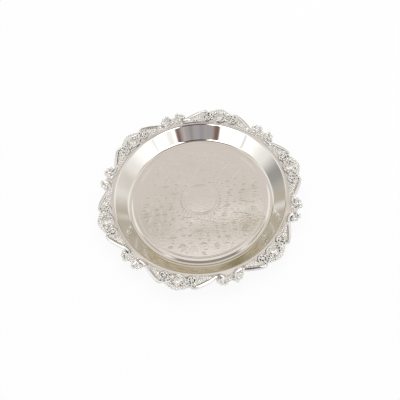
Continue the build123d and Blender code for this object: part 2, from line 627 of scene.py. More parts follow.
@dataclass(frozen=True)
class CastFinish(Finish):
    """The castings' plate: bright on raised work, dark in the recesses with patina and painted
    shade, painted shade on the lower outer edge, and a cast grain.

    Noises are given as waves to the metre and octaves.

    Attributes:
        deep: Colour of the patina and painted shade in the narrow hollows, and of the painted
            shade on the outer edge.
        dull_rough: Roughness in the narrow hollows.
        hollow_range: Depth of a hollow where the patina and painted shade start, and where they
            are full.
        edge_shade_range: Height on the outer edge where the painted shade starts, and where it is
            full.
        edge_shade: How far the outer edge is darkened with painted shade.
        veil_range: Height under which the plate is tarnished, and where that is full.
        veil_most: How far it is tarnished.
        veil_patches: Values of the patches between which the tarnish comes in.
        veil_rough: Roughness that the tarnish adds.
        patches: Noise of the patina and painted shade in the hollows, and of the tarnish.
        patch_depth: How much depth a patch of that noise adds to a hollow, for its patina and
            painted shade.
        smudges: Noise of the gloss.
        smudge_rough: Roughness that a smudge adds.
        grain: Noise of the cast grain.
        grain_share: Its share of the relief.
        pits: Pits to the metre.
    """

    bright: Colour = (0.97, 0.963, 0.95)
    clean_rough: float = 0.05
    bump: float = 0.18
    bump_depth: float = 0.06
    # Near-black colour of the painted shade and patina in the hollows and on the outer edge
    deep: Colour = (0.11, 0.1, 0.085)
    dull_rough: float = 0.32
    hollow_range: Point = (0.67, 1.15)
    edge_shade_range: Point = (12.85, 12.5)
    edge_shade: float = 0.7
    veil_range: Point = (14.6, 12.8)
    veil_most: float = 0.35
    veil_patches: Point = (0.35, 0.7)
    veil_rough: float = 0.25
    patches: Point = (420, 4)
    patch_depth: float = 0.5
    smudges: Point = (90, 5)
    smudge_rough: float = 0.08
    grain: Point = (3600, 2)
    grain_share: float = 0.2
    pits: float = 1500.0

    def surface(self, tree: Tree, place: Socket) -> tuple[Socket, Socket, Socket]:
        """The castings' surface.

        Args:
            tree: The material's tree.
            place: Object coordinates.

        Returns:
            Colour, roughness and finest relief.
        """
        height = tree.math("DIVIDE", tree.out("ShaderNodeSeparateXYZ", {0: place}, "Z"), MM)
        hollow = tree.out("ShaderNodeAttribute", None, "Fac", attribute_name="hollow")
        patches = tree.noise(place, self.patches)
        sunk = tree.math("MULTIPLY_ADD", patches, self.patch_depth, hollow)
        # Painted shade: the lower outer edge darkens, for the shadowed table that it would reflect
        edge = tree.math("MULTIPLY", tree.ramp(height, *self.edge_shade_range), self.edge_shade)
        # Painted shade beside real patina: narrow hollows, and the lower outer edge, darken toward
        # near black
        shade_and_patina = tree.math("MAXIMUM", tree.ramp(sunk, *self.hollow_range), edge)
        low = tree.ramp(height, *self.veil_range, (0.0, self.veil_most))
        veil = tree.math("MULTIPLY", low, tree.ramp(patches, *self.veil_patches))
        colour = tree.blend(veil, (*self.bright, 1), (*self.tarnish, 1))
        colour = tree.blend(shade_and_patina, colour, (*self.deep, 1))
        rough = tree.ramp(shade_and_patina, 0, 1, (self.clean_rough, self.dull_rough))
        smudges = tree.noise(place, self.smudges)
        rough = tree.math("MULTIPLY_ADD", smudges, self.smudge_rough, rough)
        rough = tree.math("MULTIPLY_ADD", veil, self.veil_rough, rough)
        pits = tree.out("ShaderNodeTexVoronoi", {"Vector": place, "Scale": self.pits})
        pitted = tree.math("MULTIPLY", pits, low)
        grain = tree.noise(place, self.grain)
        return colour, rough, tree.math("MULTIPLY_ADD", grain, self.grain_share, pitted)


@dataclass(frozen=True)
class SpunFinish(Finish):
    """The dish's plate: a mirror wall and a satin floor with faint turning lines and wipe marks.

    Noises are given as waves to the metre and octaves.

    Attributes:
        floor_radius: Radius of the satin floor.
        floor_blur: How far its edge fades to each side.
        stains: Noise of the tarnish.
        stain_range: Values of that noise between which the tarnish comes in.
        stain_most: How far it dulls the colour.
        turning: Noise of the turning lines.
        turning_drift: How far they drift on their way round, in metres.
        turning_share: Their share of the relief.
        wipe_turn: Angle of the wipe marks from the tray's X axis, in degrees.
        wipe_stretch: How much closer noise lies along the wipe marks than across them.
        wipes: Noise of the broad wipe marks.
        fine_wipes: Noise of the fine wipe marks.
        fine_share: The fine marks' share of the relief beside the broad ones.
        wall_wipes: Share of the wipe marks that shows outside the floor.
        satin_range: Values of the broad marks between which the satin comes in.
        satin_most: How far it dulls the colour.
        waves: Noise of the slight waves in the floor.
        wave_stretch: How much closer that noise lies along the wipe marks than across them.
        wave_share: The waves' share of the relief.
        smudges: Noise of the gloss.
        smudge_range: Values of that noise between which a smudge comes in.
        smudge_rough: Roughness that a smudge adds.
    """

    floor_radius: float = 64.0
    floor_blur: float = 0.6
    stains: Point = (35, 6)
    stain_range: Point = (0.42, 0.8)
    stain_most: float = 0.22
    turning: Point = (2600, 2)
    turning_drift: float = 0.0008
    turning_share: float = 0.06
    wipe_turn: float = 19.2
    wipe_stretch: float = 0.07
    wipes: Point = (1300, 3)
    fine_wipes: Point = (2800, 2)
    fine_share: float = 0.35
    wall_wipes: float = 0.08
    satin_range: Point = (0.35, 0.7)
    satin_most: float = 0.1
    waves: Point = (520, 2)
    wave_stretch: float = 0.5
    wave_share: float = 3.5
    smudges: Point = (60, 6)
    smudge_range: Point = (0.4, 0.75)
    smudge_rough: float = 0.03

    def surface(self, tree: Tree, place: Socket) -> tuple[Socket, Socket, Socket]:
        """The dish's surface.

        Args:
            tree: The material's tree.
            place: Object coordinates.

        Returns:
            Colour, roughness and finest relief.
        """
        flat = tree.vector("MULTIPLY", place, (1, 1, 0))
        radius = tree.vector("LENGTH", flat, which="Value")
        edge = (self.floor_radius + self.floor_blur, self.floor_radius - self.floor_blur)
        inside = tree.ramp(radius, edge[0] * MM, edge[1] * MM)
        spread = tree.out("ShaderNodeCombineXYZ", {"X": radius})
        drift = (0.0, self.turning_drift, self.turning_drift)
        ringed = tree.vector("MULTIPLY_ADD", tree.vector("NORMALIZE", flat), drift, spread)
        level = tree.out(
            "ShaderNodeMapping", {0: place, "Rotation": (0, 0, math.radians(self.wipe_turn))}
        )
        wiped = tree.vector("MULTIPLY", level, (self.wipe_stretch, 1, 1))
        broad, fine = tree.noise(wiped, self.wipes), tree.noise(wiped, self.fine_wipes)
        satin = tree.ramp(broad, *self.satin_range, (0.0, self.satin_most))
        stained = tree.noise(place, self.stains)
        stained = tree.ramp(stained, *self.stain_range, (0.0, self.stain_most))
        dulled = tree.math("MAXIMUM", stained, tree.math("MULTIPLY", satin, inside))
        colour = tree.blend(dulled, (*self.bright, 1), (*self.tarnish, 1))
        smudged = tree.ramp(tree.noise(place, self.smudges), *self.smudge_range)
        rough = tree.math("MULTIPLY_ADD", smudged, self.smudge_rough, self.clean_rough)
        marks = tree.math("MULTIPLY_ADD", fine, self.fine_share, broad)
        marks = tree.math("MULTIPLY", marks, tree.ramp(inside, 0, 1, (self.wall_wipes, 1.0)))
        waved = tree.vector("MULTIPLY", level, (self.wave_stretch, 1, 1))
        strength = tree.ramp(inside, 0, 1, (0.0, self.wave_share))
        waves = tree.math("MULTIPLY", tree.noise(waved, self.waves), strength)
        marks = tree.math("ADD", marks, waves)
        turning = tree.noise(ringed, self.turning)
        return colour, rough, tree.math("MULTIPLY_ADD", turning, self.turning_share, marks)


@dataclass
class Engraving:
    """The ring of scrolls, leaves and flowers cut into the floor, in six equal parts.

    A place on the floor is given as a radius and an angle from the crest line in degrees.

    Attributes:
        finish: The dish's material.
        reach: Radius of the engraved disc.
        level: Height of the floor.
        rim_points: Points round the disc.
        half: Half the width of a full line.
        depth: Depth of a full line.
        step: Distance between the points of a line.
        end: Share of a stroke's swell that is cut off at each end.
        weld: Distance within which points of the disc become one.
        block: How many points are cut at a time.
    """

    finish: Material
    reach: float
    level: float
    rim_points: int
    half: float = 0.45
    depth: float = 0.06
    step: float = 0.75
    end: float = 0.1
    weld: float = 1e-4
    block: int = 300

    def __post_init__(self) -> None:
        """Start with no lines, which are rows of place and weight."""
        self.lines: list[np.ndarray] = []

    def even(self, points: np.ndarray, weight: float) -> None:
        """Draw a line of even width and depth, given as a share of the full ones."""
        self.lines.append(np.c_[points, np.full(len(points), weight)])

    def line(self, points: np.ndarray, weight: float = 1.0) -> None:
        """Draw a line that thins out towards its ends, and its mirror image.

        Args:
            points: Points along it, in the floor's plane.
            weight: Its width and depth in the middle, as a share of the full ones.
        """
        run = np.r_[0, np.cumsum(np.linalg.norm(np.diff(points, axis=0), axis=1))]
        count = max(4, round(run[-1] / self.step) + 1)
        at, share = np.linspace(0, run[-1], count), np.linspace(0, 1, count)
        x, y = (np.interp(at, run, values) for values in points.T)
        press = np.sin(np.pi * (self.end + (1 - 2 * self.end) * share)) ** 0.5
        rows = np.c_[x, y, weight * press]
        self.lines.append(rows)
        if np.abs(y).max() > TINY:
            self.lines.append(rows * np.array([1, -1, 1]))

    def polar(self, radius: float, turn: float) -> np.ndarray:
        """A place on the floor."""
        return circle(math.radians(turn), radius)[0]

    def curve(self, *places: Point, weight: float = 1.0) -> None:
        """Draw a smooth line of a given weight through places."""
        self.line(catmull(np.array([self.polar(*place) for place in places]), 8), weight)

    def leaf(self, root: Point, tip: Point, wide: float, bend: float = 0.0) -> None:
        """Draw a pointed leaf with a midrib.

        Args:
            root: Place of its root.
            tip: Place of its tip.
            wide: Half its width.
            bend: How far it bows to the side.
        """
        start = self.polar(*root)
        run = self.polar(*tip) - start
        across = np.array([-run[1], run[0]]) / np.linalg.norm(run)
        points, rib_points, edge_weight, rib_weight, fullest = 9, 6, 0.85, 0.6, 0.8
        share = np.linspace(0, 1, points)
        spine = start + np.outer(share, run) + np.outer(4 * share * (1 - share) * bend, across)
        swell = np.outer(np.sin(np.pi * share**fullest) * wide, across)
        self.line(spine + swell, edge_weight)
        self.line(spine - swell, edge_weight)
        self.line(spine[:rib_points], rib_weight)

    def scroll(self, middle: Point, size: float, start: float, turns: float, eye: float) -> None:
        """Draw a spiral scroll.

        Args:
            middle: Place of its eye.
            size: Its outer radius.
            start: The direction that it starts in, in degrees.
            turns: How many turns it makes inwards, negative for clockwise.
            eye: Radius of its eye as a share of the outer one.
        """
        share = np.linspace(0, 1, 40)
        angle = np.radians(start + 360 * turns * share)
        self.line(self.polar(*middle) + circle(angle, size * (1 - (1 - eye) * share)))

    def oval(self, radius: float, long: float, wide: float) -> None:
        """Draw an oval medallion of two lines on the crest line.

        Args:
            radius: Radius of its middle.
            long: Half its length.
            wide: Half its width.
        """
        ring = circle(np.linspace(0, WHOLE_TURN, 30))
        for share, weight in ((1.0, 1.0), (0.72, 0.6)):
            place = (radius + self.weld, self.weld)
            self.line(place + ring * (long * share, wide * share), weight)

    def flower(self, middle: Point) -> None:
        """Draw a flower of five open petals.

        Args:
            middle: Its place.
        """
        petals, opening, reach, long, wide = 5, 0.15, 1.5, 1.45, 1.15
        around = np.linspace(opening, WHOLE_TURN - opening, 12)
        petal = np.c_[reach - long * np.cos(around), wide * np.sin(around)]
        for x, y in circle(angles(petals) + math.pi / petals):
            self.even(self.polar(*middle) + petal @ np.array([(x, y), (-y, x)]), 0.85)

    def draw(self) -> None:
        """Draw one sixth of the ring, on both sides of a crest line."""
        self.leaf((50.5, 0), (58.6, 0), 1.7)
        self.leaf((50.0, 2.2), (57.6, 5.6), 1.5, 0.5)
        self.leaf((49.2, 4.0), (54.8, 9.8), 1.3, 0.7)
        self.oval(43.0, 4.6, 3.3)
        self.scroll((38.5, 13.0), 5.2, 150, 1.45, 0.16)
        self.scroll((50.5, 17.5), 4.6, -60, -1.4, 0.16)
        self.curve(
            (34.0, 5.5), (33.2, 10.5), (34.6, 16.5), (39.5, 20.5), (45.5, 21.5), (51.0, 23.0)
        )
        self.curve((47.0, 12.0), (45.6, 16.0), (46.8, 20.0), weight=0.8)
        self.leaf((35.0, 17.5), (30.6, 22.5), 1.3, -0.6)
        self.leaf((39.0, 20.5), (36.4, 26.2), 1.3, -0.6)
        self.leaf((44.0, 21.6), (43.0, 26.0), 1.1, -0.4)
        self.leaf((55.5, 14.0), (58.6, 18.4), 1.1, 0.4)
        self.flower((51.5, 30.0))
        self.leaf((26.5, 0), (33.0, 0), 1.5)
        self.leaf((25.8, 4.0), (31.0, 9.0), 1.3, 0.5)
        self.scroll((25.4, 17.0), 3.6, -150, -1.25, 0.2)
        self.curve((21.8, 3.0), (20.4, 9.0), (21.6, 15.5), (22.6, 22.0))
        self.leaf((23.5, 25.0), (29.0, 29.0), 1.2, 0.3)
        for turn in (5.0, 15.0, 25.0):
            self.leaf((17.2, turn), (20.2, turn), 0.9)

    def rings(self) -> None:
        """Draw the plain rings and the beads round the medallion and round the ornament."""
        for radius, weight in ((14.4, 0.9), (16.3, 1.0), (60.2, 0.7), (61.4, 1.0)):
            self.even(circle(np.linspace(0, WHOLE_TURN, 120), radius), weight)
        beads, radius, size = 48, 15.35, 0.42
        bead = circle(np.linspace(0, WHOLE_TURN, 9), size)
        for middle in circle(angles(beads), radius):
            self.even(middle + bead, 0.6)

    def repeat(self) -> None:
        """Repeat the lines of one sixth round the floor and add the rings."""
        self.draw()
        rows = np.vstack(self.lines)
        ends = np.cumsum([len(line) for line in self.lines])[:-1]
        figure = carrier_of(np.c_[rows[:, :2], np.zeros(len(rows))])
        mesh = Round(self.finish).run(figure, Count=LOBES)
        sixths = points_of(mesh).reshape(LOBES, len(rows), 3)
        bpy.data.meshes.remove(mesh)
        self.lines = []
        for sixth in sixths:
            self.lines += np.split(np.c_[sixth[:, :2], rows[:, 2]], ends)
        self.rings()

    def depths(self, points: np.ndarray) -> np.ndarray:
        """How deep the floor is cut at given points.

        Args:
            points: Places on the floor.

        Returns:
            Depths in millimetres.
        """
        a = np.vstack([line[:-1] for line in self.lines])
        b = np.vstack([line[1:] for line in self.lines])
        run = b[:, :2] - a[:, :2]
        length = np.maximum((run**2).sum(1), TINY**2)
        low = np.minimum(a[:, 0], b[:, 0]) - self.half
        high = np.maximum(a[:, 0], b[:, 0]) + self.half
        deep = np.zeros(len(points))
        order = np.argsort(points[:, 0])
        for block in np.array_split(order, len(order) // self.block):
            x = points[block, 0]
            near = (high > x.min()) & (low < x.max())
            if not near.any():
                continue
            off = points[block][:, None, :] - a[None, near, :2]
            share = np.clip((off * run[near]).sum(2) / length[near], 0, 1)
            gap = np.linalg.norm(off - share[..., None] * run[near], axis=2)
            weight = a[near, 2] + share * (b[near, 2] - a[near, 2])
            cut = weight - gap / self.half
            deep[block] = np.maximum(cut.max(1), 0) * self.depth
        return deep

    def build(self) -> tuple[np.ndarray, Faces]:
        """The engraved disc.

        Returns:
            Its points and its faces.
        """
        self.repeat()
        places: list[np.ndarray] = []
        edges: list[Edge] = []
        base = 0
        for line in self.lines:
            ahead = np.gradient(line[:, :2], axis=0)
            ahead /= np.maximum(np.linalg.norm(ahead, axis=1), TINY)[:, None]
            side = np.c_[-ahead[:, 1], ahead[:, 0]] * line[:, 2:] * self.half
            for share in (1, 0, -1):
                places.append(line[:, :2] + share * side)
                edges += in_row(len(line), base)
                base += len(line)
        places.append(circle(angles(self.rim_points), self.reach))
        edges += in_ring(self.rim_points, base)
        flat = [Vector(place) for place in np.vstack(places)]
        found, _, faces, *_ = delaunay_2d_cdt(flat, edges, [], 0, self.weld, False)
        points = np.array([place[:] for place in found])
        on_rim = np.hypot(*points.T) > self.reach - 100 * self.weld
        deep = np.where(on_rim, 0.0, self.depths(points))
        return np.c_[points, self.level - deep], [list(face) for face in faces]


def rounded(corners: list[Point], radii: tuple[float, ...]) -> list[Point]:
    """A run of straight lines with its inner corners rounded.

    Args:
        corners: The corners of the run.
        radii: A radius for each inner corner.

    Returns:
        The points of the rounded run, with extra points along each straight.
    """
    straight, last_straight, arc = (0.08, 0.3, 0.6, 0.92), (0.1, 0.5, 1.0), np.linspace(0, 1, 9)
    out = [corners[0]]
    for before, corner, after, radius in zip(corners, corners[1:], corners[2:], radii):
        a, b, c = Vector(before), Vector(corner), Vector(after)
        back, ahead = (a - b).normalized(), (c - b).normalized()
        half = back.angle(ahead) / 2
        run = radius / math.tan(half)
        middle = b + (back + ahead).normalized() * (radius / math.sin(half))
        first, last = b + back * run, b + ahead * run
        start = Vector(out[-1])
        out += [tuple(start.lerp(first, share)) for share in straight]
        for share in arc:
            spoke = (first - middle).lerp(last - middle, share).normalized() * radius
            out.append(tuple(middle + spoke))
    start, end = Vector(out[-1]), Vector(corners[-1])
    return out + [tuple(start.lerp(end, share)) for share in last_straight]


def waved(stops: tuple[Point, ...], turn: np.ndarray) -> np.ndarray:
    """Radius at angles in radians from a crest, by stops of an angle in degrees and a radius."""
    return np.interp(np.degrees(turn), *zip(*stops))


@dataclass
class Dish:
    """The spun dish: raised floor, foot ring, sloping wall, lip and waved rim.

    Attributes:
        finish: Its material.
        floor_radius: Radius of the raised floor.
        step_run: How far the floor's edge slopes out.
        channel: Height of the channel round the floor.
        foot_radius: Radius at which the wall's line comes down to the sheet's thickness.
        mouth_radius: Radius at the lip.
        border_inner: Radius where the castings begin.
        sheet: Thickness of the sheet.
        floor_top: Height of the floor.
        rim_top: Height of the rim.
        top_rounds: Radii of the bends on top, from the floor's edge to the lip.
        under_rounds: Radii of the bends underneath, from the lip to the floor's edge.
        under_inset: How much nearer to the middle the floor's edge lies underneath.
        rim_waves: Radius of the rim's cut edge by degrees from a crest.
        turns: Points round the dish.
        engraved: Radius of the engraved disc in the floor.
        crease: Angle in degrees from which an edge shows sharp.
    """

    finish: Material
    floor_radius: float = 64.3
    step_run: float = 1.9
    channel: float = 1.25
    foot_radius: float = 68.0
    mouth_radius: float = 81.0
    border_inner: float = 83.2
    sheet: float = 0.9
    floor_top: float = 1.8
    rim_top: float = 12.2
    top_rounds: tuple[float, ...] = (2.0, 2.5, 4.7, 3.4)
    under_rounds: tuple[float, ...] = (0.9, 0.8, 0.45, 0.5)
    under_inset: float = 0.4
    rim_waves: tuple[Point, ...] = ((0, 95.7), (11.4, 92.4), (21, 86.8), (30, 90.1))
    turns: int = 360
    engraved: float = 62.6
    crease: float = 6.0

    def section(self) -> tuple[list[Point], list[Point]]:
        """The dish's profile, in points of radius and height.

        Returns:
            The upper side from the engraved disc to the castings, and the underside from there
            to the middle.
        """
        slope = math.atan2(self.rim_top - self.sheet, self.mouth_radius - self.foot_radius)
        step = self.floor_radius + self.step_run
        wall_foot = self.foot_radius + (self.channel - self.sheet) / math.tan(slope)
        top = [
            (self.engraved, self.floor_top),
            (self.floor_radius, self.floor_top),
            (step, self.channel),
            (wall_foot, self.channel),
            (self.mouth_radius, self.rim_top),
            (self.border_inner, self.rim_top),
        ]
        drop = self.sheet * math.tan(slope / 2)
        under = [
            (self.border_inner, self.rim_top - self.sheet),
            (self.mouth_radius + drop, self.rim_top - self.sheet),
            (self.foot_radius + drop, 0.0),
            (step - self.under_inset, 0.0),
            (self.floor_radius - self.under_inset, self.floor_top - self.sheet),
            (0.0, self.floor_top - self.sheet),
        ]
        return rounded(top, self.top_rounds), rounded(under, self.under_rounds)

    def blank(self) -> Mesh:
        """The dish with its engraved floor.

        Returns:
            A closed mesh.
        """
        top, under = self.section()
        angle = angles(self.turns)
        rim = waved(self.rim_waves, np.abs((angle + HALF_LOBE) % LOBE_TURN - HALF_LOBE))
        levels = [*top, (rim, self.rim_top), (rim, self.rim_top - self.sheet), *under[:-1]]
        rings = [np.c_[circle(angle, reach), np.full(self.turns, z)] for reach, z in levels]
        points = np.vstack([*rings, [(0, 0, under[-1][1])]])
        # The rings run outwards on top, so their faces are turned over
        faces = [[a, d, c, b] for a, b, c, d in skin(len(rings), self.turns)]
        middle = len(points) - 1
        faces += [[middle, j, i] for i, j in in_ring(self.turns, middle - self.turns)]
        shells = Solids()
        shells.add(points, faces)
        shells.add(*Engraving(self.finish, self.engraved, self.floor_top, self.turns).build())
        return shells.mesh("dish", self.finish)

    def build(self) -> Piece:
        """The finished dish.

        Returns:
            The piece, standing for the construction's dish.
        """
        mesh = self.blank()
        mesh.set_sharp_from_angle(angle=math.radians(self.crease))
        piece = new_object("spun_dish", mesh)
        dress(piece, Metal.DISH, "dish")
        return piece


@dataclass
class BorderCasting:
    """One casting of the border, built beside the crest on +X and turned to its place.

    Its ornament is given in two ways: beside the crest line, as distance from it and distance
    from the middle of the tray, and beside a seam, in the same two measures. Both are followed
    by half a width and a rise.

    Attributes:
        finish: Its material.
        bottom: Height of the underside.
        seat: Height of the face that rests on the rim.
        ground: Height of the recessed ground.
        inner: Radius of the inner edge.
        notch_turn: Degrees from the crest to the notch that ends the inner edge.
        notch_radius: Radius of the notch at the seam.
        grain: Edge of a cell of the mesh.
        matting: Distance between the pearls of the ground.
        matting_inset: How far they stay away from the inner edge.
        relief_cell: Edge of a cell of the map of heights.
        relief_low: How far the map starts under the ground.
        relief_shifts: The cells over which that map is smoothed.
        seat_edge: Radius of the seat's outer edge by degrees from the crest.
        outline: The plate's edge from the crest to the seam.
    """

    finish: Material
    bottom: float = 11.35
    seat: float = 12.2
    ground: float = 13.0
    inner: float = 83.2
    notch_turn: float = 24.5
    notch_radius: float = 87.2
    grain: float = 0.215
    matting: float = 1.0
    matting_inset: float = 1.1
    relief_cell: float = 0.25
    relief_low: float = 0.6
    relief_shifts: range = range(-3, 3)
    seat_edge: tuple[Point, ...] = ((0, 95.9), (11.4, 92.6), (21, 87.0), (30, 90.3))
    outline: tuple[Point, ...] = (
        (0.0, 98.2), (2.6, 97.9), (5.0, 96.9), (7.8, 95.6), (10.0, 94.4), (12.6, 93.4),
        (14.6, 94.2), (17.0, 93.9), (20.4, 91.8), (24.0, 88.9), (27.0, 86.4), (29.6, 83.9),
        (32.0, 81.7), (34.2, 82.3), (36.2, 83.2), (38.2, 84.2), (40.8, 84.3), (42.4, 83.6),
        (43.9, 82.4), (44.9, 80.8), (45.9, 79.9),
    )

    def __post_init__(self) -> None:
        """Start with no ornament."""
        self.runs: dict[Profile, list[tuple[Row, ...]]] = {profile: [] for profile in Profile}
        self.balls: list[tuple[float, ...]] = []
        self.solids = Solids()

    def sweep(self, *rows: Row, profile: Profile = Profile.ROUND) -> None:
        """Raise a form of a given cross-section along a path."""
        self.runs[profile].append(rows)

    def ball(
        self, place: Point, radius: float, rise: float, stretch: float = 1.0, turn: float = 0.0
    ) -> None:
        """Raise a rounded form.

        Args:
            place: Distance from the crest line and distance along it.
            radius: Its radius across.
            rise: How far its top stands above the ground.
            stretch: Length over width.
            turn: Angle of its long axis from the radial direction, in degrees.
        """
        self.balls.append((*place, self.ground, radius * stretch, radius, rise, turn))

    def leaf(
        self, root: Point, tip: Point, half: float, rise: float, bend: float,
        profile: Profile = Profile.KEEL,
    ) -> None:
        """Raise a leaf from its root to its tip.

        Args:
            root: Where it starts.
            tip: Where it ends.
            half: Half its greatest width.
            rise: Its greatest rise.
            bend: How far its middle bows to the side.
            profile: Its cross-section.
        """
        a, b = np.array(root), np.array(tip)
        run = b - a
        across = np.array([-run[1], run[0]]) / np.linalg.norm(run) * bend
        rows = []
        # Shares of the length, of half the width and of the rise
        for share, wide, high in (
            (0.0, 0.4, 0.5), (0.25, 0.85, 0.82), (0.55, 1.0, 1.0), (0.8, 0.8, 0.92),
            (1.0, 0.25, 0.6),
        ):
            place = a + run * share + across * 4 * share * (1 - share)
            rows.append((*place, half * wide, rise * high))
        self.sweep(*rows, profile=profile)

    def moulding(self) -> None:
        """The outer moulding, from its curl beside the palmette to its hook at the seam."""
        crest_side = [
            (13.2, 92.2, 0.75, 1.5), (13.2, 93.2, 0.9, 1.7), (14.4, 94.2, 1.0, 1.9),
            (16.1, 94.0, 1.25, 2.0), (18.0, 92.7, 1.6, 2.05), (20.6, 90.7, 1.9, 2.05),
            (24.0, 87.9, 2.0, 2.0), (27.4, 84.9, 1.95, 1.95), (30.6, 81.8, 1.85, 1.9),
        ]
        seam_side = [
            (16.0, 86.1, 1.85, 1.9), (12.2, 85.4, 1.8, 1.9), (8.6, 85.5, 1.7, 2.0),
            (6.0, 86.7, 1.65, 2.1), (4.5, 88.9, 1.55, 2.15), (4.1, 91.4, 1.45, 2.2),
            (4.3, 93.7, 1.3, 2.2), (5.2, 95.2, 1.1, 2.0),
        ]
        self.sweep(*crest_side, *from_pair(seam_side), profile=Profile.MOULDING)
        self.ball((13.5, 91.4), 1.45, 2.3)

    def end_scroll(self) -> None:
        """The leafy end of the moulding beside the seam: knuckles that grow out of an eye."""
        top, first, second, eye = from_pair([(6.0, 95.1), (9.3, 93.2), (11.5, 90.2), (7.4, 89.7)])
        self.ball(from_pair([(8.4, 91.6)])[0], 3.0, 1.6)
        self.ball(top, 1.4, 2.3)
        self.ball(eye, 1.35, 2.3)
        for tip, size in ((first, 1.6), (second, 1.5)):
            self.leaf(eye, tip, size, 1.9, 0.4, Profile.ROUND)
            self.ball(tip, size, 2.2)
        for root, tip in (((7.6, 91.6), (7.2, 94.2)), ((9.3, 89.0), (11.3, 88.2))):
            a, b = from_pair([root, tip])
            self.leaf(a, b, 0.65, 1.5, 0.2)
        self.ball(from_pair([(5.9, 92.3)])[0], 0.6, 1.6)

    def c_scroll(self) -> None:
        """The C-scroll that cups a pearl, between the cartouche and the moulding."""
        self.sweep(
            (10.2, 90.0, 0.5, 1.2), (9.2, 88.9, 0.75, 1.6), (9.1, 87.0, 0.95, 1.9),
            (10.2, 85.0, 1.05, 2.0), (12.5, 84.1, 1.05, 2.0), (14.9, 84.9, 1.0, 1.9),
            (16.1, 86.7, 0.9, 1.8), (15.9, 88.6, 0.7, 1.5), (14.8, 89.3, 0.5, 1.2),
        )
        self.ball((12.5, 87.3), 0.85, 2.35)
        for turn in angles(5):
            petal = (12.5 + 1.5 * math.sin(turn), 87.3 + 1.5 * math.cos(turn))
            self.ball(petal, 0.82, 2.0, 1.25, math.degrees(turn))
        self.ball((10.5, 90.6), 0.95, 1.9)
        self.leaf((16.9, 89.2), (12.0, 89.7), 0.75, 1.5, -0.45)
        self.leaf((11.0, 92.2), (8.3, 90.6), 0.75, 1.5, 0.25)

    def cartouche(self) -> None:
        """The middle of the lobe: a cup of scrolls round a domed, pearled shell."""
        self.sweep(
            (4.2, 93.3, 0.55, 1.5), (5.5, 93.0, 0.6, 1.7), (6.2, 91.8, 0.65, 1.8),
            (5.9, 90.5, 0.65, 1.8), (4.9, 90.4, 0.55, 1.6), (4.6, 91.4, 0.45, 1.4),
        )
        self.sweep(
            (7.0, 90.0, 0.5, 1.3), (6.7, 88.6, 0.75, 1.6), (5.7, 86.8, 0.95, 1.9),
            (4.0, 85.4, 1.05, 2.0), (2.0, 84.7, 1.05, 2.0), (0.0, 84.6, 1.05, 2.0),
            (-2.0, 84.7, 1.05, 2.0),
        )
        middle, radius, rise, stretch = 89.8, 3.65, 1.9, 1.12
        pearl, pearl_across, pearl_along, pearled = (0.36, 0.36, 0.3, 0.0), 0.82, 0.72, 0.86
        self.ball((0.0, middle), radius, rise, stretch)
        for row in range(-5, 6):
            for column in range(5):
                u, w = pearl_across * (column + 0.5 * (row % 2)), pearl_along * row
                inside = (w / (radius * stretch)) ** 2 + (u / radius) ** 2
                if inside < pearled:
                    height = self.ground + rise * math.sqrt(1 - inside)
                    self.balls.append((u, middle + w, height, *pearl))
        self.leaf((7.5, 84.7), (7.6, 88.4), 0.85, 1.5, 0.2)
        self.sweep(
            (3.9, 90.9, 0.35, 1.1), (3.6, 92.4, 0.45, 1.3), (2.2, 93.9, 0.55, 1.5),
            (0.0, 94.5, 0.6, 1.6), (-2.2, 93.9, 0.55, 1.5),
        )

    def palmette(self) -> None:
        """The flutes that fan out over the crest, and the leaves beside them."""
        self.sweep(
            (-3.0, 96.0, 1.5, 1.45), (0.0, 96.6, 1.55, 1.5), (3.2, 95.9, 1.5, 1.45),
            (6.0, 94.6, 1.4, 1.4), (8.6, 93.3, 1.2, 1.3), (10.2, 92.6, 1.0, 1.2),
        )
        for root, tip in (
            ((0.0, 95.3), (0.0, 98.4)), ((1.6, 95.1), (2.4, 98.0)), ((3.1, 94.5), (4.7, 97.1))
        ):
            middle = ((root[0] + tip[0]) / 2, (root[1] + tip[1]) / 2)
            self.sweep((*root, 0.55, 1.5), (*middle, 0.85, 1.9), (*tip, 1.0, 1.9))
            self.ball(tip, 1.08, 2.0)
        for root, tip, half in (
            ((5.4, 93.9), (7.0, 96.2), 0.95),
            ((6.6, 93.2), (9.2, 95.1), 1.0),
            ((7.4, 92.2), (11.2, 93.6), 1.0),
        ):
            self.leaf(root, tip, half, 1.8, 0.25, Profile.ROUND)
            self.ball(tip, half * 0.95, 1.9)
        self.ball((7.3, 91.9), 0.95, 1.9)

    def husks(self) -> None:
        """The chain of husks that fills the wedge inside the moulding."""
        petals = carrier_of(
            [(0.45, 0, 0), (0.1, 0.42, 0), (0.1, -0.42, 0)],
            size=[(0.85, 0.34, 0.52), (0.62, 0.26, 0.42), (0.62, 0.26, 0.42)],
            turn=np.radians([0.0, 38.0, -38.0]),
        )
        form = new_object("husk", Knobs(self.finish).run(petals))
        path = [(18.9, 86.0), (21.8, 84.2), (24.9, 82.2), (27.8, 80.5), (30.6, 79.0)]
        chain = carrier_of([(w, u, self.ground) for u, w in path], in_row(len(path)))
        self.take(Chain(self.finish).run(chain, Form=form, Count=7, First=2.5, Last=0.95))
        discard(form)
        for step, (u, w) in enumerate(((17.9, 83.4), (20.4, 82.3), (22.9, 81.5))):
            self.leaf((u, w), (u + 1.9, w - 0.9), 0.62 - 0.08 * step, 1.4, 0.2)

    def take(self, mesh: Mesh) -> None:
        """Gather a form in millimetres and its mirror image.

        Args:
            mesh: The form, which is used up.
        """
        faces = [list(face.vertices) for face in mesh.polygons]
        self.solids.add_mirrored(points_of(mesh), faces)
        bpy.data.meshes.remove(mesh)

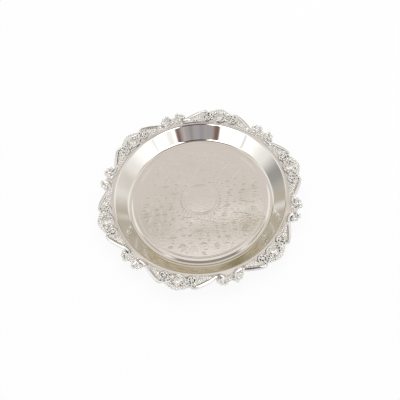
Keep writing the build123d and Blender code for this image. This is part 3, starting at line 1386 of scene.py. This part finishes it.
    def raise_all(self) -> None:
        """Turn the gathered paths and knobs into closed shells."""
        follow = Follow(self.finish)
        for profile, runs in self.runs.items():
            shape = [(-x, -y, 0.0) for x, y in profile.value]
            section = new_object("section", carrier_of(shape, in_ring(len(shape))))
            rows = np.array([row for run in runs for row in run], float)
            edges: list[Edge] = []
            base = 0
            for run in runs:
                edges += in_row(len(run), base)
                base += len(run)
            across, along, half, rise = rows.T
            points = np.c_[along, across, np.zeros(len(rows))]
            paths = carrier_of(points, edges, half=half, ratio=rise / half)
            self.take(follow.run(paths, Section=section, Foot=self.ground))
            discard(section)
        across, along, height, *size, turn = np.array(self.balls).T
        places = np.c_[along, across, height]
        knobs = carrier_of(places, size=np.transpose(size), turn=np.radians(turn))
        self.take(Knobs(self.finish).run(knobs))

    def plate(self) -> None:
        """Lay the plate under the ornament and the matting on its ground."""
        inner_edge = circle(np.linspace(math.radians(self.notch_turn), 0, 16), self.inner)
        edge = [(along, across) for across, along in self.outline]
        side = np.vstack([edge, circle(HALF_LOBE, self.notch_radius), inner_edge])
        ring = np.vstack([side, side[-2:0:-1] * (1, -1)])
        size = len(ring)
        levels = [np.c_[ring, np.full(size, z)] for z in (self.bottom, self.ground)]
        caps = [list(range(size))[::-1], list(range(size, 2 * size))]
        self.solids.add(np.vstack(levels), caps + skin(2, size))
        half_plate = np.c_[side, np.full(len(side), self.ground)]
        ground = carrier_of(half_plate, faces=[list(range(len(side)))])
        start = self.inner + self.matting_inset
        self.take(Matting(self.finish).run(ground, Gap=self.matting, Start=start, Seed=4))

    def melt(self) -> Mesh:
        """Melt the shells into one body and cut the seat under it.

        Returns:
            The casting's mesh.
        """
        raw = new_object("casting_raw", self.solids.mesh("casting_raw", self.finish))
        remesh = raw.modifiers.new("melt", "REMESH")
        remesh.mode = "VOXEL"
        remesh.voxel_size = self.grain * MM
        smooth = raw.modifiers.new("soften", "SMOOTH")
        smooth.factor = 0.5
        smooth.iterations = 1
        mesh = applied(raw, "casting")
        points = points_of(mesh)
        x, y, z = points.T
        over_rim = np.hypot(x, y) < waved(self.seat_edge, np.abs(np.arctan2(y, x))) * MM
        points[:, 2] = np.maximum(z, np.where(over_rim, self.seat, self.bottom) * MM)
        mesh.vertices.foreach_set("co", points.ravel())
        mesh.update()
        # Depth under the relief round each point, which drives the hollows' patina and painted
        # shade
        hollow = mesh.attributes.new("hollow", "FLOAT", "POINT")
        hollow.data.foreach_set("value", self.hollows(points / MM))
        mesh.materials.clear()
        mesh.materials.append(self.finish)
        mesh.shade_smooth()
        return mesh

    def hollows(self, points: np.ndarray) -> np.ndarray:
        """How deep each point lies under the relief round it.

        Args:
            points: The mesh's points.

        Returns:
            Depths in millimetres, negative for points that stand out.
        """
        margin = 16
        low = points[:, :2].min(0) - margin * self.relief_cell
        place = ((points[:, :2] - low) / self.relief_cell).astype(int)
        top = np.full(place.max(0) + margin, self.ground - self.relief_low)
        cells = (place[:, 0], place[:, 1])
        np.maximum.at(top, cells, points[:, 2])
        for axis in (0, 1, 0, 1):
            moved = sum(np.roll(top, shift, axis) for shift in self.relief_shifts)
            top = moved / len(self.relief_shifts)
        return top[cells] - points[:, 2]

    def build(self) -> list[Piece]:
        """All the castings of the border.

        Returns:
            The pieces, standing for the construction's castings.
        """
        for part in (
            self.moulding, self.end_scroll, self.c_scroll, self.cartouche, self.palmette,
            self.husks, self.raise_all, self.plate,
        ):
            part()
        first = self.melt()
        pieces = []
        for number in range(LOBES):
            mesh = first.copy()
            mesh.transform(Matrix.Rotation(number * LOBE_TURN, 4, "Z"))
            piece = new_object(f"cast_section_{number + 1}", mesh)
            dress(piece, Metal.BORDER, f"border_section_{number + 1}")
            pieces.append(piece)
        return pieces


@dataclass
class SeamBud:
    """The small buds soldered over the seams.

    Attributes:
        radius: Radius of the collar.
        reach: Distance from the middle of the tray.
        bottom: Height of the underside.
        top: Height of the tip.
        turns: Points round a bud.
        flutes: Flutes round its point.
        flute_depth: Their depth as a share of the radius.
        fluted: Shares of the height between which it is fluted.
        section: Shares of the radius and of the height, from the underside to the tip.
    """

    radius: float = 1.6
    reach: float = 89.3
    bottom: float = 13.0
    top: float = 15.35
    turns: int = 40
    flutes: int = 8
    flute_depth: float = 0.06
    fluted: Point = (0.3, 0.95)
    section: tuple[Point, ...] = (
        (0.96, 0.0), (1.0, 0.06), (1.0, 0.2), (0.94, 0.28), (0.84, 0.32), (0.86, 0.38),
        (0.88, 0.48), (0.82, 0.62), (0.68, 0.78), (0.46, 0.91), (0.22, 0.98),
    )

    def shell(self, at: float) -> Solids:
        """A bud's closed shell.

        Args:
            at: Its angle round the tray.

        Returns:
            The shell.
        """
        middle, angle = circle(at, self.reach)[0], angles(self.turns)
        low, high = self.fluted
        rings = []
        for share, level in self.section:
            flute = 1 + self.flute_depth * np.cos(self.flutes * angle) * (low < level < high)
            height = self.bottom + (self.top - self.bottom) * level
            ring = middle + circle(angle + at, self.radius * share * flute)
            rings.append(np.c_[ring, np.full(self.turns, height)])
        points = np.vstack([*rings, [(*middle, self.bottom), (*middle, self.top)]])
        foot, tip = len(points) - 2, len(points) - 1
        faces = skin(len(rings), self.turns)
        faces += [[foot, j, i] for i, j in in_ring(self.turns)]
        faces += [[tip, i, j] for i, j in in_ring(self.turns, foot - self.turns)]
        shell = Solids()
        shell.add(points, faces)
        return shell

    def build(self, finish: Material) -> list[Piece]:
        """All the buds.

        Args:
            finish: Their material.

        Returns:
            The pieces, standing for the construction's buds.
        """
        pieces = []
        for number in range(LOBES):
            shell = self.shell((2 * number + 1) * HALF_LOBE)
            mesh = shell.mesh(f"bud_{number + 1}", finish)
            piece = new_object(f"solder_bud_{number + 1}", mesh)
            dress(piece, Metal.BORDER, f"seam_bud_{number + 1}")
            pieces.append(piece)
        return pieces


def dress(piece: Piece, metal: Metal, *nodes: str) -> None:
    """Put a finished piece in the place of construction nodes.

    Args:
        piece: The piece.
        metal: The record's slot that matches its finish; not used.
        nodes: The nodes that it stands for.
    """
    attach(piece, "root")
    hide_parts(*nodes)


@dataclass(frozen=True)
class Card:
    """A soft patch of light or shade in the studio that polished metal shows.

    Attributes:
        azimuth: Degrees from the camera's side, positive to its right.
        elevation: Degrees above the table.
        half_width: Half its width in degrees.
        half_height: Half its height in degrees.
        edge: How far its edge fades, in degrees.
        colour: Its light.
    """

    azimuth: float
    elevation: float
    half_width: float
    half_height: float
    edge: float
    colour: Colour


@dataclass
class Studio:
    """Camera, table and light.

    Attributes:
        elevation: The camera's elevation in degrees.
        azimuth: Direction of the camera from the tray, in degrees from +X.
        roll: The camera's roll in degrees.
        distance: From the middle of the rim to the camera.
        slide: How far the camera is moved right and up, without turning.
        lens: Focal length.
        sensor: Width of the sensor.
        aim_height: Height of the point that the camera is set from.
        base: Light of the room between the cards.
        cards: Cards from the back to the front, as far as they lie over each other.
        fill: Strength of the white room on matt surfaces.
        table_reach: Half the table's width, in metres.
        table_grey: How pale the table is.
        table_glow: Share by which it shows white in metal and to the camera.
        lamp_size: The lamp's width, in metres.
        lamp_power: The lamp's power, in watts.
        lamp_place: Where it hangs, in metres.
    """

    elevation: float = 60.17
    azimuth: float = -101.66
    roll: float = -6.53
    distance: float = 678.8
    slide: Point = (-0.49, -5.35)
    lens: float = 64.98
    sensor: float = 36.0
    aim_height: float = 12.2
    base: Colour = (0.86, 0.852, 0.83)
    cards: tuple[Card, ...] = (
        Card(180, 43, 100, 9, 3, (0.90, 0.885, 0.86)),
        Card(0, 90, 180, 34, 6, (1.02, 1.015, 1.0)),
        Card(0, 90, 180, 20, 5, (0.80, 0.775, 0.735)),
        Card(-3, 46, 76, 24, 10, (1.2, 1.2, 1.2)),
        Card(180, 4, 78, 12, 6, (0.50, 0.465, 0.40)),
        Card(106, 62, 17, 7, 3, (0.50, 0.46, 0.395)),
        Card(-106, 62, 17, 7, 3, (0.50, 0.46, 0.395)),
        Card(180, 54.5, 44, 25.5, 3, (0.665, 0.62, 0.58)),
        Card(0, 90, 180, 17, 2, (0.29, 0.26, 0.22)),
        Card(178, 65.2, 40, 1.7, 0.7, (0.83, 0.78, 0.755)),
        Card(174, 61.35, 8, 0.4, 0.3, (0.93, 0.89, 0.86)),
        Card(181, 61.9, 4, 0.3, 0.3, (0.76, 0.72, 0.69)),
        Card(169.5, 62.1, 4, 0.4, 0.25, (0.38, 0.31, 0.20)),
        Card(176, 62.5, 6, 0.35, 0.25, (0.53, 0.475, 0.40)),
        Card(190, 61.4, 5, 1.0, 0.8, (0.58, 0.535, 0.485)),
        Card(175, 11, 26, 9, 6, (0.51, 0.445, 0.34)),
        Card(180, 24, 45, 6.5, 1.5, (0.23, 0.18, 0.06)),
        Card(180, 0, 26, 5, 1.5, (0.25, 0.20, 0.07)),
        Card(-171, 14, 4, 6, 3, (0.29, 0.27, 0.17)),
        Card(-5, 62, 24, 14, 2, (0.02, 0.02, 0.02)),
        Card(-6, 43, 27, 13, 1.2, (0.20, 0.13, 0.11)),
        Card(-5.5, 43, 21, 13, 2.5, (0.39, 0.365, 0.375)),
        Card(2, 43, 2.2, 13, 1.5, (0.31, 0.29, 0.30)),
        Card(-11, 43, 2.5, 13, 2, (0.31, 0.31, 0.345)),
        Card(11, 43, 1.5, 13, 1.5, (0.50, 0.45, 0.44)),
        Card(29, 41, 4, 20, 3, (0.97, 0.94, 0.95)),
        Card(49, 38, 0.7, 20, 0.6, (0.86, 0.87, 0.90)),
        Card(-63, 36, 1.2, 20, 0.8, (0.80, 0.81, 0.82)),
        Card(-109, 20, 11, 16, 9, (0.34, 0.335, 0.325)),
        Card(99, 24, 9, 18, 6, (0.70, 0.67, 0.635)),
        Card(0, 8, 78, 13, 4, (0.03, 0.03, 0.03)),
        Card(-134, 6, 2.5, 3.5, 2.5, (0.74, 0.73, 0.69)),
        Card(128, 6, 2.5, 3.5, 2.5, (0.72, 0.71, 0.67)),
        Card(35, 64, 16, 8.5, 3, (3.3, 3.3, 3.27)),
        Card(-41, 64, 16, 8.5, 3, (3.3, 3.3, 3.27)),
    )
    fill: float = 0.75
    table_reach: float = 3.0
    table_grey: float = 0.92
    table_glow: float = 0.9
    lamp_size: float = 0.9
    lamp_power: float = 4.0
    lamp_place: Place = (0.25, 0.35, 1.1)

    def axes(self) -> tuple[Vector, Vector, Vector]:
        """Directions that the camera and the cards are placed by.

        Returns:
            To the camera's right, level from the tray to the camera, and straight to it.
        """
        tilt, turn = math.radians(self.elevation), math.radians(self.azimuth)
        front = Vector((math.cos(turn), math.sin(turn), 0))
        right = Vector((-math.sin(turn), math.cos(turn), 0))
        back = front * math.cos(tilt)
        back.z = math.sin(tilt)
        return right, front, back

    def camera(self) -> None:
        """Place the camera at the photograph's angle."""
        right, _, back = self.axes()
        up = back.cross(right)
        place = Vector((0, 0, self.aim_height)) + back * self.distance
        place += right * self.slide[0] + up * self.slide[1]
        roll = math.radians(self.roll)
        across = math.cos(roll) * right + math.sin(roll) * up
        above = math.cos(roll) * up - math.sin(roll) * right
        data = bpy.data.cameras.new("photo_camera")
        data.sensor_width = self.sensor
        data.lens = self.lens
        camera = bpy.data.objects.new("photo_camera", data)
        bpy.context.scene.collection.objects.link(camera)
        turn = Matrix((across, above, back)).transposed().to_4x4()
        camera.matrix_world = Matrix.Translation(place * MM) @ turn
        bpy.context.scene.camera = camera

    def reflected(self, tree: Tree) -> Socket:
        """What polished metal shows of the room: its base and the cards over it.

        Args:
            tree: The world's tree.

        Returns:
            The colour.
        """
        view = tree.out("ShaderNodeTexCoord", None, "Generated")
        right, front, _ = self.axes()
        side = tree.vector("DOT_PRODUCT", view, tuple(right), which="Value")
        near = tree.vector("DOT_PRODUCT", view, tuple(front), which="Value")
        high = tree.out("ShaderNodeSeparateXYZ", {0: view}, "Z")
        azimuth = tree.math("DEGREES", tree.math("ARCTAN2", side, near))
        elevation = tree.math("DEGREES", tree.math("ARCSINE", high))
        colour: object = (*self.base, 1)
        for card in self.cards:
            off = tree.math("WRAP", tree.math("SUBTRACT", azimuth, card.azimuth), 180.0, -180.0)
            rise = tree.math("SUBTRACT", elevation, card.elevation)
            shares = [
                tree.ramp(tree.math("ABSOLUTE", angle), half + card.edge, half - card.edge)
                for angle, half in ((off, card.half_width), (rise, card.half_height))
            ]
            colour = tree.blend(tree.math("MULTIPLY", *shares), colour, (*card.colour, 1))
        return colour

    def world(self) -> None:
        """Light the studio: white to the camera, soft cards of light and shade to the metal."""
        world = bpy.data.worlds.new("studio")
        bpy.context.scene.world = world
        world.use_nodes = True
        world.node_tree.nodes.clear()
        tree = Tree(world.node_tree)
        plain, shown, soft = (
            tree.out("ShaderNodeBackground", {"Color": colour, "Strength": strength})
            for colour, strength in (
                ((1, 1, 1, 1), 1.0), (self.reflected(tree), 1.0), ((1, 1, 1, 1), self.fill)
            )
        )
        lit = tree.out("ShaderNodeMixShader", {0: tree.mirrored(), 1: soft, 2: shown})
        seen = tree.out("ShaderNodeLightPath", None, "Is Camera Ray")
        final = tree.out("ShaderNodeMixShader", {0: seen, 1: lit, 2: plain})
        tree.node("ShaderNodeOutputWorld", {"Surface": final})

    def table(self) -> None:
        """Lay the pale table."""
        mesh = bpy.data.meshes.new("table")
        reach, grey = self.table_reach, self.table_grey
        corners = [(-reach, -reach, 0), (reach, -reach, 0), (reach, reach, 0), (-reach, reach, 0)]
        mesh.from_pydata(corners, [], [[0, 1, 2, 3]])
        table = new_object("table", mesh)
        material = bpy.data.materials.new("white_table")
        material.use_nodes = True
        tree = Tree(material.node_tree)
        shader = material.node_tree.nodes["Principled BSDF"]
        shader.inputs["Base Color"].default_value = (grey, grey, grey, 1)
        shader.inputs["Roughness"].default_value = 0.9
        shader.inputs["Specular IOR Level"].default_value = 0.0
        glow = tree.out("ShaderNodeEmission", {"Color": (1, 1, 1, 1), "Strength": 1.0})
        share = tree.math("MULTIPLY", tree.mirrored(camera=True), self.table_glow)
        mixed = tree.out("ShaderNodeMixShader", {0: share, 1: shader.outputs[0], 2: glow})
        output = material.node_tree.nodes["Material Output"]
        tree.tree.links.new(mixed, output.inputs["Surface"])
        mesh.materials.append(material)

    def lamps(self) -> None:
        """Hang one broad soft lamp over the tray."""
        light = bpy.data.lights.new("overhead", "AREA")
        light.shape = "DISK"
        light.size = self.lamp_size
        light.energy = self.lamp_power
        lamp = bpy.data.objects.new("overhead", light)
        lamp.location = self.lamp_place
        lamp.rotation_euler = Vector(self.lamp_place).to_track_quat("Z", "Y").to_euler()
        lamp.visible_glossy = False
        bpy.context.scene.collection.objects.link(lamp)

    def build(self) -> None:
        """Set up the whole studio."""
        bpy.context.scene.view_settings.view_transform = "Standard"
        self.camera()
        self.world()
        self.table()
        self.lamps()


def main() -> None:
    """Build the tray and its studio."""
    logging.basicConfig(level=logging.INFO, format="%(name)s: %(message)s")
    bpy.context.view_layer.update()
    Studio().build()
    spun = SpunFinish("spun_silver_plate").build()
    cast = CastFinish("cast_silver_plate").build()
    dish = Dish(spun).build()
    log.info("%s: %d faces", dish.name, len(dish.data.polygons))
    for piece in [*BorderCasting(cast).build(), *SeamBud().build(cast)]:
        log.info("%s: %d faces", piece.name, len(piece.data.polygons))


if __name__ == "__main__":
    main()
